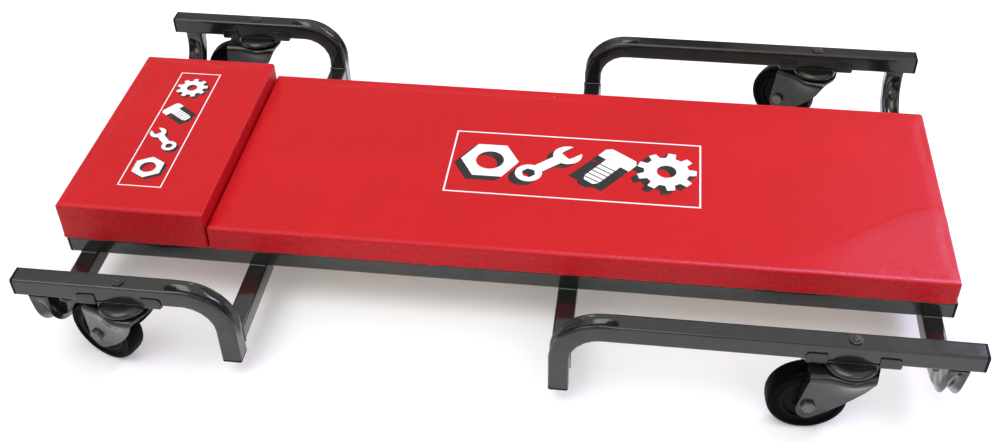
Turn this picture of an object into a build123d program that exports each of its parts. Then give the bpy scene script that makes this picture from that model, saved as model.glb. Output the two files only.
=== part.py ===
from build123d import *
import math
import os

# Padded mechanics creeper, modelled as its bench parts. Millimetres.
# Frame: origin on the floor under the middle of the frame, +X towards the foot
# end, +Y towards the user's left, +Z up. Wheels stand on Z = 0.

# ---------------------------------------------------------------- driving sizes
TUBE = 20.0             # square steel tube, outside
WALL = 1.5              # its wall
TUBE_R = 2.4            # outside corner radius of the tube
BEND_R = 40.0           # centreline radius of every bend (two tube sizes)

PAD_L = 914.4           # 36 in over both pads
PAD_W = 285.0
HEAD_L = 158.2          # length of the headrest pad
PAD_GAP = 0.6           # seam between headrest and bed
PAD_X0 = -459.0         # head end of the headrest

RAIL_Z0 = 52.3          # underside of the rails
RAIL_OUT = 142.0        # outer face of each rail, from the middle
RAIL_X0, RAIL_X1 = -456.0, 456.6
RAIL_Y = RAIL_OUT - TUBE / 2
PAD_Z0 = RAIL_Z0 + TUBE
BED_TOP = 99.5
HEAD_TOP = 116.3

ARM_Y = 241.0           # outrigger centreline
ARM_Z0 = 92.1           # underside of an outrigger = top of a caster plate
ARM_ZC = ARM_Z0 + TUBE / 2
ARM_END = 459.3         # outer end of an outrigger, with its cap
LEG_X_HEAD = -251.0     # middle of the turned-down leg, head pair
LEG_X_FOOT = 74.5       # the same, foot pair
LEG_Z0 = 20.6           # lower end of the leg, with its cap

CROSS_X_HEAD = -435.7   # bent-up cross tube at the head
CROSS_X_FOOT = 436.4    # and at the foot
CROSS_ZC = RAIL_Z0 - TUBE / 2

CAP_T = 3.0             # flange of a plastic tube cap
PLUG_L = 12.0           # its plug inside the tube

BOARD_T = 10.0          # plywood under each pad
SKIN_T = 1.0            # vinyl
FOLD_W = 30.0           # vinyl folded under the board
PAD_EDGE_R = 6.0

# ------------------------------------------------------------- caster sizes
WHEEL_R = 38.1          # 3 in wheel
WHEEL_W = 22.0
TRAIL = 34.0            # axle behind the kingpin
PIN_R = 5.0             # kingpin
PIN_HOLE_R = 5.06       # running fit in the fork crown
AXLE_R = 3.95
BUSH_R_IN = 4.01        # running fit on the axle
BUSH_R_OUT = 6.5
BUSH_L = 24.0
PLATE_T = 2.5
PLATE_L = 86.0
TAB_W = 20.0
TAB_H = 9.7             # tab above the underside of the outrigger
RACE_R = 23.5
RACE_Z = 87.9           # underside of the flat of the upper race
BALL_R = 2.7
BALL_RING_R = 14.0
BALL_N = 14
CROWN_R = 28.0
CROWN_Z1 = 82.15        # top of the fork crown
FORK_T = 2.5
FORK_IN = 12.3          # inner face of a fork leg from the wheel's middle
FORK_OUT = FORK_IN + FORK_T

# name: kingpin x, kingpin y, yaw of the fork in degrees (0 trails to -X)
CASTERS = {
    "head_right": (-352.6, -ARM_Y, -19.5),
    "head_left": (-352.6, ARM_Y, 1.0),
    "foot_right": (342.4, -ARM_Y, 3.5),
    "foot_left": (342.4, ARM_Y, -28.0),
}

os.makedirs("parts", exist_ok=True)


def save(shape, name):
    export_step(shape, "parts/" + name + ".step")


def group(solids):
    return Compound(children=list(solids))


def box(x0, x1, y0, y1, z0, z1):
    return Pos((x0 + x1) / 2, (y0 + y1) / 2, (z0 + z1) / 2) * Box(
        x1 - x0, y1 - y0, z1 - z0
    )


def cyl_z(x, y, r, z0, z1):
    return Pos(x, y, (z0 + z1) / 2) * Cylinder(r, z1 - z0)


def section(plane, inner):
    side = TUBE - 2 * WALL if inner else TUBE
    rad = TUBE_R - WALL if inner else TUBE_R
    return plane * RectangleRounded(side, side, rad)


def swept(path_edges, start_plane):
    """Hollow square tube along a wire of lines and tangent arcs."""
    path = Wire(path_edges)
    outer = sweep(section(start_plane, False), path=path)
    inner = sweep(section(start_plane, True), path=path)
    return outer - inner


# ------------------------------------------------------------------ frame tubes
def straight_x(x0, x1, y, zc):
    p = Plane(origin=(x0, y, zc), x_dir=(0, 1, 0), z_dir=(1, 0, 0))
    return extrude(section(p, False), x1 - x0) - extrude(section(p, True), x1 - x0)


def straight_y(x, y0, y1, zc):
    p = Plane(origin=(x, y0, zc), x_dir=(1, 0, 0), z_dir=(0, 1, 0))
    return extrude(section(p, False), y1 - y0) - extrude(section(p, True), y1 - y0)


SCREW_X_HEAD = (-408.0, -330.0)
SCREW_X_BED = (-205.0, 0.0, 205.0, 395.0)
SCREW_Y = RAIL_Y
SCREW_R = 2.0
SCREW_TOP = PAD_Z0 + SKIN_T + 7.0
screw_spots = [(x, s * SCREW_Y) for x in SCREW_X_HEAD + SCREW_X_BED for s in (-1, 1)]

rails = {}
for side, s in (("right", -1), ("left", 1)):
    rail = straight_x(RAIL_X0 + CAP_T, RAIL_X1 - CAP_T, s * RAIL_Y, RAIL_Z0 + TUBE / 2)
    for x, y in screw_spots:
        if y * s > 0:
            rail -= cyl_z(x, y, SCREW_R + 0.1, RAIL_Z0 - 1, PAD_Z0 + 1)
    rails[side] = rail

# hairline of a ground-flush butt weld, where two lengths of tube make one rail
groove = Pos(286.3, -RAIL_OUT, RAIL_Z0 + TUBE / 2) * Rot(0, 17.5, 0) * Box(0.7, 1.0, 30.0)
groove &= box(270, 300, -RAIL_OUT - 1, -RAIL_OUT + 0.5, RAIL_Z0 + 1.2, PAD_Z0 - 1.2)
rails["right"] -= groove
save(rails["right"], "rail_right")
save(rails["left"], "rail_left")

inner_half = ARM_Y - TUBE / 2
save(straight_y(LEG_X_HEAD, -inner_half, inner_half, CROSS_ZC), "crosstube_inner_head")
save(straight_y(LEG_X_FOOT, -inner_half, inner_half, CROSS_ZC), "crosstube_inner_foot")


def cross_u(x):
    """Cross tube whose two ends turn up to the outriggers."""
    yb = ARM_Y - BEND_R
    zb = CROSS_ZC + BEND_R
    edges = [
        Line((x, -ARM_Y, ARM_Z0), (x, -ARM_Y, zb)),
        ThreePointArc(
            (x, -ARM_Y, zb),
            (x, -yb - BEND_R * math.sin(math.pi / 4), zb - BEND_R * math.cos(math.pi / 4)),
            (x, -yb, CROSS_ZC),
        ),
        Line((x, -yb, CROSS_ZC), (x, yb, CROSS_ZC)),
        ThreePointArc(
            (x, yb, CROSS_ZC),
            (x, yb + BEND_R * math.sin(math.pi / 4), zb - BEND_R * math.cos(math.pi / 4)),
            (x, ARM_Y, zb),
        ),
        Line((x, ARM_Y, zb), (x, ARM_Y, ARM_Z0)),
    ]
    start = Plane(origin=(x, -ARM_Y, ARM_Z0), x_dir=(1, 0, 0), z_dir=(0, 0, -1))
    return swept(edges, start)


save(cross_u(CROSS_X_HEAD), "crosstube_head")
save(cross_u(CROSS_X_FOOT), "crosstube_foot")


def outrigger(x_leg, sign, y, x_pin):
    """Outrigger: from its capped outer end to a leg turned down by 90 degrees."""
    x_end = sign * (ARM_END - CAP_T)
    xb = x_leg + sign * BEND_R
    zb = ARM_ZC - BEND_R
    c = math.cos(math.pi / 4) * BEND_R
    edges = [
        Line((x_end, y, ARM_ZC), (xb, y, ARM_ZC)),
        ThreePointArc((xb, y, ARM_ZC), (xb - sign * c, y, zb + c), (x_leg, y, zb)),
        Line((x_leg, y, zb), (x_leg, y, LEG_Z0 + CAP_T)),
    ]
    start = Plane(origin=(x_end, y, ARM_ZC), x_dir=(0, 1, 0), z_dir=(-sign, 0, 0))
    tube = swept(edges, start)
    return tube - cyl_z(x_pin, y, PIN_R + 0.1, ARM_Z0 - 1, ARM_Z0 + TUBE + 1)


for name, (px, py, _) in CASTERS.items():
    if name.startswith("head"):
        save(outrigger(LEG_X_HEAD, -1, py, px), "arm_" + name)
    else:
        save(outrigger(LEG_X_FOOT, 1, py, px), "arm_" + name)


# ------------------------------------------------------------- plastic tube caps
def cap(origin, out_dir, x_dir):
    """Flange and plug; out_dir points out of the tube."""
    flange_p = Plane(origin=origin, x_dir=x_dir, z_dir=out_dir)
    body = extrude(flange_p * RectangleRounded(TUBE, TUBE, TUBE_R), CAP_T)
    plug = extrude(
        flange_p * RectangleRounded(TUBE - 2 * WALL - 0.2, TUBE - 2 * WALL - 0.2, TUBE_R - WALL),
        -PLUG_L,
    )
    hollow = extrude(
        flange_p.offset(-2.0) * Rectangle(TUBE - 2 * WALL - 3.0, TUBE - 2 * WALL - 3.0),
        -PLUG_L,
    )
    edge = body.faces().sort_by(Axis(origin, out_dir))[-1].edges()
    body = fillet(edge, 0.9)
    return body + (plug - hollow)


caps = []
for y in (-RAIL_Y, RAIL_Y):
    zc = RAIL_Z0 + TUBE / 2
    caps.append(cap((RAIL_X0 + CAP_T, y, zc), (-1, 0, 0), (0, 1, 0)))
    caps.append(cap((RAIL_X1 - CAP_T, y, zc), (1, 0, 0), (0, 1, 0)))
save(group(caps), "rail_end_caps")

caps = []
for y in (-ARM_Y, ARM_Y):
    for s in (-1, 1):
        caps.append(cap((s * (ARM_END - CAP_T), y, ARM_ZC), (s, 0, 0), (0, 1, 0)))
save(group(caps), "arm_end_caps")

caps = []
for y in (-ARM_Y, ARM_Y):
    for x in (LEG_X_HEAD, LEG_X_FOOT):
        caps.append(cap((x, y, LEG_Z0 + CAP_T), (0, 0, -1), (1, 0, 0)))
save(group(caps), "leg_end_caps")


# ---------------------------------------------------------------------- padding
def rounded_block(x0, x1, y0, y1, z0, z1, r_corner, r_top):
    b = box(x0, x1, y0, y1, z0, z1)
    b = fillet(b.edges().filter_by(Axis.Z), r_corner)
    return fillet(b.faces().sort_by(Axis.Z)[-1].edges(), r_top)


def pad(name, x0, x1, top, screw_x):
    h = PAD_W / 2
    t = SKIN_T
    outer = rounded_block(x0, x1, -h, h, PAD_Z0, top, PAD_EDGE_R, PAD_EDGE_R)
    space = rounded_block(
        x0 + t, x1 - t, -h + t, h - t, PAD_Z0 + t, top - t, PAD_EDGE_R - t, PAD_EDGE_R - t
    )
    window = box(x0 + FOLD_W, x1 - FOLD_W, -h + FOLD_W, h - FOLD_W, PAD_Z0 - 1, PAD_Z0 + t + 1)
    cover = outer - space - window
    g = 0.2
    board = box(
        x0 + t + g, x1 - t - g, -h + t + g, h - t - g, PAD_Z0 + t, PAD_Z0 + t + BOARD_T
    )
    board = fillet(board.edges().filter_by(Axis.Z), PAD_EDGE_R - t)
    foam = rounded_block(
        x0 + t + g,
        x1 - t - g,
        -h + t + g,
        h - t - g,
        PAD_Z0 + t + BOARD_T,
        top - t - g,
        PAD_EDGE_R - t,
        PAD_EDGE_R + 3.0,
    )
    for x in screw_x:
        for y in (-SCREW_Y, SCREW_Y):
            hole = cyl_z(x, y, SCREW_R + 0.02, PAD_Z0 - 1, SCREW_TOP + 0.1)
            board -= hole
            cover -= hole
    save(board, name + "_board")
    save(foam, name + "_foam")
    save(cover, name + "_cover")


HEAD_X1 = PAD_X0 + HEAD_L
BED_X0 = HEAD_X1 + PAD_GAP
BED_X1 = PAD_X0 + PAD_L
pad("headrest", PAD_X0, HEAD_X1, HEAD_TOP, SCREW_X_HEAD)
pad("bed", BED_X0, BED_X1, BED_TOP, SCREW_X_BED)

# staples through the folded vinyl into the boards
ST_L, ST_W, ST_T, ST_LEG = 10.0, 1.2, 0.6, 7.0


def staple(x, y, along_x):
    z0 = PAD_Z0 - ST_T
    if along_x:
        s = box(x - ST_L / 2, x + ST_L / 2, y - ST_W / 2, y + ST_W / 2, z0, PAD_Z0)
        for k in (-1, 1):
            e = x + k * (ST_L / 2 - ST_T / 2)
            s += box(e - ST_T / 2, e + ST_T / 2, y - ST_W / 2, y + ST_W / 2, z0, PAD_Z0 + ST_LEG)
        return s
    s = box(x - ST_W / 2, x + ST_W / 2, y - ST_L / 2, y + ST_L / 2, z0, PAD_Z0)
    for k in (-1, 1):
        e = y + k * (ST_L / 2 - ST_T / 2)
        s += box(x - ST_W / 2, x + ST_W / 2, e - ST_T / 2, e + ST_T / 2, z0, PAD_Z0 + ST_LEG)
    return s


staples = []
edge_y = PAD_W / 2 - FOLD_W + 5.0
for x0, x1, n in ((PAD_X0, HEAD_X1, 3), (BED_X0, BED_X1, 12)):
    for i in range(n):
        x = x0 + 25 + (x1 - x0 - 50) * i / (n - 1)
        for s in (-1, 1):
            staples.append(staple(x, s * edge_y, True))
    for xe in (x0 + FOLD_W - 8.0, x1 - FOLD_W + 8.0):
        for y in (-75, -25, 25, 75):
            staples.append(staple(xe, y, False))
save(group(staples), "pad_staples")


def pad_screw(x, y):
    head = cyl_z(x, y, 4.0, RAIL_Z0 - 2.4, RAIL_Z0)
    head = fillet(head.faces().sort_by(Axis.Z)[0].edges(), 1.3)
    slot = box(x - 2.4, x + 2.4, y - 0.5, y + 0.5, RAIL_Z0 - 3, RAIL_Z0 - 1.4)
    slot += box(x - 0.5, x + 0.5, y - 2.4, y + 2.4, RAIL_Z0 - 3, RAIL_Z0 - 1.4)
    return head + cyl_z(x, y, SCREW_R, RAIL_Z0 - 0.5, SCREW_TOP) - slot


save(group([pad_screw(x, y) for x, y in screw_spots]), "pad_screws")


# --------------------------------------------------------------------- casters
def place(x, y, yaw):
    return Pos(x, y, 0) * Rot(0, 0, yaw)


def saddle():
    """Stamped plate under the outrigger, four tabs folded up its sides, race below."""
    p = box(-PLATE_L / 2, PLATE_L / 2, -TUBE / 2, TUBE / 2, ARM_Z0 - PLATE_T, ARM_Z0)
    for sx in (-1, 1):
        for sy in (-1, 1):
            x1 = sx * PLATE_L / 2
            x0 = x1 - sx * TAB_W
            y0 = sy * TUBE / 2
            y1 = sy * (TUBE / 2 + 2.4)
            tab = box(
                min(x0, x1),
                max(x0, x1),
                min(y0, y1),
                max(y0, y1),
                ARM_Z0 - PLATE_T,
                ARM_Z0 + TAB_H,
            )
            low = tab.edges().filter_by(Axis.X).sort_by(Axis.Z)[:2].sort_by(Axis.Y)
            tab = fillet(low[-1] if sy > 0 else low[0], 2.0)
            p += tab
    # raised-edge race: flat inside, lip falling away outside
    prof = Polyline(
        (0, RACE_Z),
        (18.0, RACE_Z),
        (RACE_R, RACE_Z - 1.5),
        (RACE_R, RACE_Z + 0.7),
        (18.5, RACE_Z + 2.3),
        (0, RACE_Z + 2.3),
        close=True,
    )
    face = Plane.XZ * make_face(prof)
    p += revolve(face, Axis.Z)
    return p - cyl_z(0, 0, PIN_R + 0.1, RACE_Z - 2, ARM_Z0 + 1)


LEG_SIDE = [
    (-37.5, CROWN_Z1 - FORK_T / 2),
    (-44.6, 31.0),
    (-42.5, 23.5),
    (-36.0, 19.3),
    (-28.0, 19.3),
    (-19.5, 26.6),
    (-8.0, 37.6),
    (3.0, 48.8),
    (12.5, 61.0),
    (22.0, CROWN_Z1 - FORK_T / 2),
]


def fork():
    """Stamped fork: round crown, trailing shoulder, two tapered legs."""
    prof = Polyline(
        (0, CROWN_Z1 - FORK_T),
        (21.0, CROWN_Z1 - FORK_T),
        (CROWN_R, CROWN_Z1 - FORK_T - 2.0),
        (CROWN_R, CROWN_Z1 - 2.2),
        (21.3, CROWN_Z1),
        (0, CROWN_Z1),
        close=True,
    )
    f = revolve(Plane.XZ * make_face(prof), Axis.Z)
    f += box(-37.5, 0, -FORK_OUT, FORK_OUT, CROWN_Z1 - FORK_T, CROWN_Z1)
    side = make_face(Polyline(*LEG_SIDE, close=True))
    low = side.vertices().sort_by(Axis.Y)
    side = fillet(low[0:4], 3.0)
    for s in (-1, 1):
        leg = extrude(Plane(origin=(0, s * FORK_IN, 0), x_dir=(1, 0, 0), z_dir=(0, -1, 0)) * side, -s * FORK_T)
        f += leg
    f -= cyl_z(0, 0, PIN_HOLE_R, CROWN_Z1 - FORK_T - 5, CROWN_Z1 + 2)
    f -= Pos(-TRAIL, 0, WHEEL_R) * Rot(90, 0, 0) * Cylinder(AXLE_R + 0.05, 60)
    return f


def ring_y(r_out, r_in, half):
    return Rot(90, 0, 0) * (Cylinder(r_out, 2 * half) - Cylinder(r_in, 2 * half + 2))


def tread():
    """Solid rubber ring, shoulders rounded, two shallow rings on each side."""
    w = WHEEL_W / 2
    pts = [
        (26.0, -w + 1.2),
        (30.5, -w + 1.2),
        (31.2, -w + 0.2),
        (34.2, -w),
        (36.6, -w + 1.4),
        (37.7, -w + 4.0),
        (WHEEL_R, -w + 7.5),
        (WHEEL_R, w - 7.5),
        (37.7, w - 4.0),
        (36.6, w - 1.4),
        (34.2, w),
        (31.2, w - 0.2),
        (30.5, w - 1.2),
        (26.0, w - 1.2),
    ]
    face = make_face(Polyline(*pts, close=True))
    return Rot(90, 0, 0) * revolve(Plane.XZ * face, Axis.Z)


def core():
    w = WHEEL_W / 2
    pts = [
        (BUSH_R_OUT, -w + 0.2),
        (11.5, -w + 0.2),
        (12.3, -w + 1.6),
        (14.0, -w + 3.4),
        (21.5, -w + 3.4),
        (23.0, -w + 1.4),
        (26.0, -w + 1.2),
        (26.0, w - 1.2),
        (23.0, w - 1.4),
        (21.5, w - 3.4),
        (14.0, w - 3.4),
        (12.3, w - 1.6),
        (11.5, w - 0.2),
        (BUSH_R_OUT, w - 0.2),
    ]
    face = make_face(Polyline(*pts, close=True))
    return Rot(90, 0, 0) * revolve(Plane.XZ * face, Axis.Z)


HEX_AF = 12.0
HEAD_H = 4.4


def hexagon(r, z0, z1):
    h = extrude(Plane.XY.offset(z0) * RegularPolygon(r, 6, major_radius=False), z1 - z0)
    cone = Pos(0, 0, (z0 + z1) / 2) * Cone(r * 1.24, r * 1.02, z1 - z0)
    return h & cone


def axle_bolt():
    """Hex head outside the -Y fork leg, shank right through to the nut."""
    b = hexagon(HEX_AF / 2, FORK_OUT, FORK_OUT + HEAD_H)
    b += Pos(0, 0, (FORK_OUT - (FORK_OUT + 7.0)) / 2) * Cylinder(AXLE_R, 2 * FORK_OUT + 7.0)
    return Rot(90, 0, 0) * b


def axle_nut():
    n = hexagon(HEX_AF / 2, FORK_OUT, FORK_OUT + 5.2) - Cylinder(AXLE_R + 0.02, 80)
    return Rot(-90, 0, 0) * n


bolts = []
nuts = []
for name, (px, py, yaw) in CASTERS.items():
    save(Pos(px, py, 0) * saddle(), "saddle_" + name)
    at = place(px, py, yaw)
    hub = at * Pos(-TRAIL, 0, WHEEL_R)
    save(at * fork(), "fork_" + name)
    balls = []
    for i in range(BALL_N):
        a = 2 * math.pi * i / BALL_N
        balls.append(
            at
            * Pos(
                BALL_RING_R * math.cos(a),
                BALL_RING_R * math.sin(a),
                CROWN_Z1 + BALL_R + 0.02,
            )
            * Sphere(BALL_R)
        )
    save(group(balls), "ball_ring_" + name)
    save(hub * axle_bolt(), "axle_bolt_" + name)
    save(hub * axle_nut(), "axle_nut_" + name)
    save(hub * tread(), "wheel_tread_" + name)
    save(hub * core(), "wheel_core_" + name)
    save(hub * ring_y(BUSH_R_OUT, BUSH_R_IN, BUSH_L / 2), "wheel_bushing_" + name)

    # kingpin: round head on the outrigger, shank through tube, plate and crown
    top = ARM_Z0 + TUBE
    head = cyl_z(px, py, 6.2, top, top + 1.7)
    head = fillet(head.faces().sort_by(Axis.Z)[-1].edges(), 0.6)
    tip = cyl_z(px, py, 3.8, top, top + 3.0)
    tip = fillet(tip.faces().sort_by(Axis.Z)[-1].edges(), 1.0)
    bolts.append(head + tip + cyl_z(px, py, PIN_R, 72.0, top + 0.5))
    nut_top = CROWN_Z1 - FORK_T - 0.3
    n = Pos(px, py, nut_top - 6.0) * hexagon(7.5, 0.0, 6.0)
    nuts.append(n - cyl_z(px, py, PIN_R + 0.02, 60, 90))
save(group(bolts), "kingpin_bolts")
save(group(nuts), "kingpin_nuts")
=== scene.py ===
import math

import bmesh
import bpy
import numpy as np
from mathutils import Matrix, Vector, geometry, noise
from mathutils.bvhtree import BVHTree


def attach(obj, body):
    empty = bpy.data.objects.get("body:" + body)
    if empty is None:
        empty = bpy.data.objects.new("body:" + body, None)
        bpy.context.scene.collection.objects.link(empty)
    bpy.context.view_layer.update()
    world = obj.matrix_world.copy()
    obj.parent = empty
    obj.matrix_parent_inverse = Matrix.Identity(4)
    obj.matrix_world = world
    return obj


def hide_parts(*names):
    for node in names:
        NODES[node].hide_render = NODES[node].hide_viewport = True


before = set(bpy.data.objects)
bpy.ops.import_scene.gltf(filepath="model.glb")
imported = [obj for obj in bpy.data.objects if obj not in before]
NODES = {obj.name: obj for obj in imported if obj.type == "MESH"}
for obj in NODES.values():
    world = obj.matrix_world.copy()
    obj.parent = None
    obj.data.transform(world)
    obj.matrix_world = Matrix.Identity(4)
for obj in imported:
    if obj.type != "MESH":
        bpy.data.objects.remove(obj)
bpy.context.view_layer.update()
SC = bpy.context.scene
MM = 0.001

# key sizes, in millimetres
TUBE, WALL, TUBE_R, BEND_R = 20.0, 1.5, 2.4, 40.0
ARM_Y, ARM_Z0, ARM_ZC, ARM_END, CAP_T = 241.0, 92.1, 102.1, 459.3, 3.0
LEG_X_HEAD, LEG_X_FOOT, LEG_Z0 = -251.0, 74.5, 20.6
CROSS_ZC, RAIL_OUT, RAIL_IN, RAIL_Z0 = 42.3, 142.0, 122.0, 52.3
CROSS_X = (-435.7, LEG_X_HEAD, LEG_X_FOOT, 436.4)
PAD_Z0, BED_TOP, HEAD_TOP, HALF_W = 72.3, 99.5, 116.3, 142.5
PIN_X_HEAD, PIN_X_FOOT = -352.6, 342.4
CASTERS = {
    "head_right": (PIN_X_HEAD, -ARM_Y, -19.5),
    "head_left": (PIN_X_HEAD, ARM_Y, 1.0),
    "foot_right": (PIN_X_FOOT, -ARM_Y, 3.5),
    "foot_left": (PIN_X_FOOT, ARM_Y, -28.0),
}


# ------------------------------------------------------------------ camera
def make_camera():
    cam = bpy.data.objects.new("camera", bpy.data.cameras.new("camera"))
    SC.collection.objects.link(cam)
    right = Vector((0.9920020, 0.1253930, -0.0144415))
    down = Vector((0.0709430, -0.6485255, -0.7578798))
    fwd = Vector((-0.1043985, 0.7507938, -0.6522343))
    m = Matrix((right, -down, -fwd)).transposed().to_4x4()
    m.translation = Vector((0.12946251, -1.02877126, 0.90803862))
    cam.matrix_world = m
    cam.data.sensor_fit = "HORIZONTAL"
    cam.data.sensor_width = 36.0
    cam.data.lens = 43.3967
    cam.data.clip_start = 0.05
    cam.data.clip_end = 50.0
    SC.camera = cam


make_camera()


# --------------------------------------------------------------- small helpers
def smooth(a, b, x):
    t = np.clip((np.asarray(x, float) - a) / (b - a), 0.0, 1.0)
    return t * t * (3 - 2 * t)


def nz(x, y, z, seed=0.0):
    return noise.noise(Vector((x + seed * 17.3, y - seed * 9.1, z + seed * 4.7)))


def new_object(name, verts, faces, mats, shade=True, recalc=True):
    """Mesh object from millimetre points."""
    me = bpy.data.meshes.new(name)
    me.from_pydata([tuple(float(c) * MM for c in v) for v in verts], [], faces)
    me.validate()
    if recalc:
        bm = bmesh.new()
        bm.from_mesh(me)
        bmesh.ops.recalc_face_normals(bm, faces=bm.faces)
        bm.to_mesh(me)
        bm.free()
    if shade:
        me.shade_smooth()
    for m in mats:
        me.materials.append(m)
    o = bpy.data.objects.new(name, me)
    SC.collection.objects.link(o)
    return o


def apply_modifiers(o):
    """Puts the evaluated mesh in place of the object's own."""
    dg = bpy.context.evaluated_depsgraph_get()
    me = bpy.data.meshes.new_from_object(o.evaluated_get(dg), depsgraph=dg)
    old = o.data
    o.modifiers.clear()
    o.data = me
    me.name = o.name
    bpy.data.meshes.remove(old)


# -------------------------------------------------------------------- materials
class Nodes:
    """Short way to write a node tree."""

    def __init__(self, name):
        self.mat = bpy.data.materials.new(name)
        self.mat.use_nodes = True
        self.t = self.mat.node_tree
        self.bsdf = self.t.nodes["Principled BSDF"]
        self.xyz = self.add("ShaderNodeTexCoord").outputs["Object"]

    def add(self, kind, inputs=(), **props):
        n = self.t.nodes.new(kind)
        for k, v in props.items():
            setattr(n, k, v)
        for k, v in dict(inputs).items():
            self.put(n.inputs[k], v)
        return n

    def put(self, socket, v):
        if isinstance(v, bpy.types.NodeSocket):
            self.t.links.new(v, socket)
        else:
            socket.default_value = v

    def noise(self, scale, detail=3.0, rough=0.5, distort=0.0, vec=None):
        n = self.add(
            "ShaderNodeTexNoise",
            {"Vector": vec or self.xyz, "Scale": scale, "Detail": detail, "Roughness": rough, "Distortion": distort},
        )
        return n.outputs["Fac"]

    def voronoi(self, scale, feature="F1", rand=1.0, vec=None):
        n = self.add("ShaderNodeTexVoronoi", feature=feature)
        self.put(n.inputs["Vector"], vec or self.xyz)
        self.put(n.inputs["Scale"], scale)
        self.put(n.inputs["Randomness"], rand)
        return n.outputs["Distance"]

    def stretch(self, scale):
        n = self.add("ShaderNodeMapping")
        self.put(n.inputs["Vector"], self.xyz)
        n.inputs["Scale"].default_value = scale
        return n.outputs["Vector"]

    def remap(self, v, a, b, c, d):
        n = self.add("ShaderNodeMapRange")
        for k, x in zip(("Value", "From Min", "From Max", "To Min", "To Max"), (v, a, b, c, d)):
            self.put(n.inputs[k], x)
        return n.outputs["Result"]

    def math(self, op, a, b=0.0):
        n = self.add("ShaderNodeMath", operation=op)
        self.put(n.inputs[0], a)
        self.put(n.inputs[1], b)
        return n.outputs[0]

    def mix(self, fac, a, b):
        n = self.add("ShaderNodeMix", data_type="RGBA")
        self.put(n.inputs[0], fac)
        for s, v in ((n.inputs[6], a), (n.inputs[7], b)):
            self.put(s, v if isinstance(v, bpy.types.NodeSocket) else (*v, 1.0))
        return n.outputs[2]

    def bump(self, height, strength, distance, normal=None):
        n = self.add("ShaderNodeBump")
        self.put(n.inputs["Height"], height)
        n.inputs["Strength"].default_value = strength
        n.inputs["Distance"].default_value = distance
        if normal is not None:
            self.put(n.inputs["Normal"], normal)
        return n.outputs["Normal"]

    def set(self, **kw):
        names = {
            "color": "Base Color", "rough": "Roughness", "metal": "Metallic", "normal": "Normal",
            "coat": "Coat Weight", "coat_rough": "Coat Roughness", "coat_normal": "Coat Normal",
            "sheen": "Sheen Weight", "sheen_rough": "Sheen Roughness", "spec": "Specular IOR Level",
            "ior": "IOR", "sheen_tint": "Sheen Tint",
        }
        for k, v in kw.items():
            if k in ("color", "sheen_tint") and isinstance(v, tuple):
                v = (*v, 1.0)
            self.put(self.bsdf.inputs[names[k]], v)
        return self.mat


def srgb(r, g, b):
    f = lambda c: (c / 255 / 12.92) if c <= 10.3 else ((c / 255 + 0.055) / 1.055) ** 2.4
    return (f(r), f(g), f(b))


def mat_frame_paint(name="frame_paint_gloss", base=0.034, rough=0.17, coat=0.42, wave=1.0, fold_shading=False):
    n = Nodes(name)
    big = n.noise(11.0, 2.0)
    mid = n.noise(55.0, 3.0, 0.6)
    fine = n.noise(900.0, 2.0)
    col = n.mix(n.remap(mid, 0.35, 0.7, 0.0, 1.0), (base * 0.86, base * 0.87, base * 0.80), (base * 1.12, base * 1.12, base * 1.05))
    col = n.mix(n.remap(big, 0.56, 0.74, 0.0, 0.5), col, (base * 1.25, base * 1.15, base * 1.05))
    wear = n.remap(n.noise(170.0, 4.0, 0.7), 0.64, 0.76, 0.0, 0.12)
    rgh = n.math("ADD", n.remap(mid, 0.3, 0.7, rough - 0.03, rough + 0.04), wear)
    if fold_shading:
        # painted shade: the per-vertex value from the bent tubes darkens the base colour to near black in the crushed
        # folds, creases and pockets, where shade falls; coat and roughness follow it
        deep = n.add("ShaderNodeAttribute", attribute_name="fold_shade").outputs["Fac"]
        deep = n.math("MULTIPLY", deep, n.remap(n.noise(160.0, 4.0, 0.65), 0.3, 0.65, 0.75, 1.35))
        dark = n.remap(deep, 0.2, 0.8, 0.0, 0.97)
        col = n.mix(dark, col, (0.0016, 0.0013, 0.0008))
        coat = n.remap(deep, 0.15, 0.75, coat, 0.0)
        rgh = n.math("ADD", rgh, n.remap(deep, 0.3, 0.9, 0.0, 0.35))
    b1 = n.bump(big, 0.30 * wave, 0.0030)
    b2 = n.bump(mid, 0.03 * wave, 0.0010, b1)
    b3 = n.bump(fine, 0.035, 0.0003, b2)
    return n.set(color=col, rough=rgh, metal=0.70, normal=b3, coat=coat, coat_rough=0.05, coat_normal=b2)


def mat_stamped():
    n = Nodes("stamped_paint_satin")
    mid = n.noise(70.0, 3.0, 0.6)
    fine = n.noise(700.0, 2.0)
    col = n.mix(n.remap(mid, 0.35, 0.7, 0.0, 1.0), (0.024, 0.025, 0.021), (0.039, 0.039, 0.034))
    edge = n.remap(n.noise(260.0, 5.0, 0.7), 0.60, 0.72, 0.0, 0.25)
    rgh = n.math("ADD", n.remap(mid, 0.3, 0.7, 0.20, 0.28), edge)
    nrm = n.bump(fine, 0.05, 0.0003, n.bump(mid, 0.12, 0.0012))
    return n.set(color=col, rough=rgh, metal=0.7, normal=nrm, coat=0.34, coat_rough=0.09)


def mat_bolt(name="bolt_painted", base=0.070, rough=0.30):
    n = Nodes(name)
    mid = n.noise(260.0, 4.0, 0.65)
    col = n.mix(n.remap(mid, 0.4, 0.66, 0.0, 1.0), (base * 0.8,) * 3, (base * 1.35, base * 1.32, base * 1.25))
    nrm = n.bump(n.noise(1400.0, 2.0), 0.12, 0.0002)
    return n.set(color=col, rough=n.remap(mid, 0.3, 0.7, rough - 0.06, rough + 0.12), metal=0.8, normal=nrm)


def mat_bright():
    n = Nodes("bright_zinc")
    mid = n.noise(190.0, 4.0, 0.65)
    col = n.mix(n.remap(mid, 0.35, 0.68, 0.0, 1.0), (0.42, 0.43, 0.44), (0.62, 0.60, 0.55))
    nrm = n.bump(n.noise(1800.0, 2.0), 0.1, 0.0002)
    return n.set(color=col, rough=n.remap(mid, 0.3, 0.7, 0.22, 0.42), metal=1.0, normal=nrm)


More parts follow.
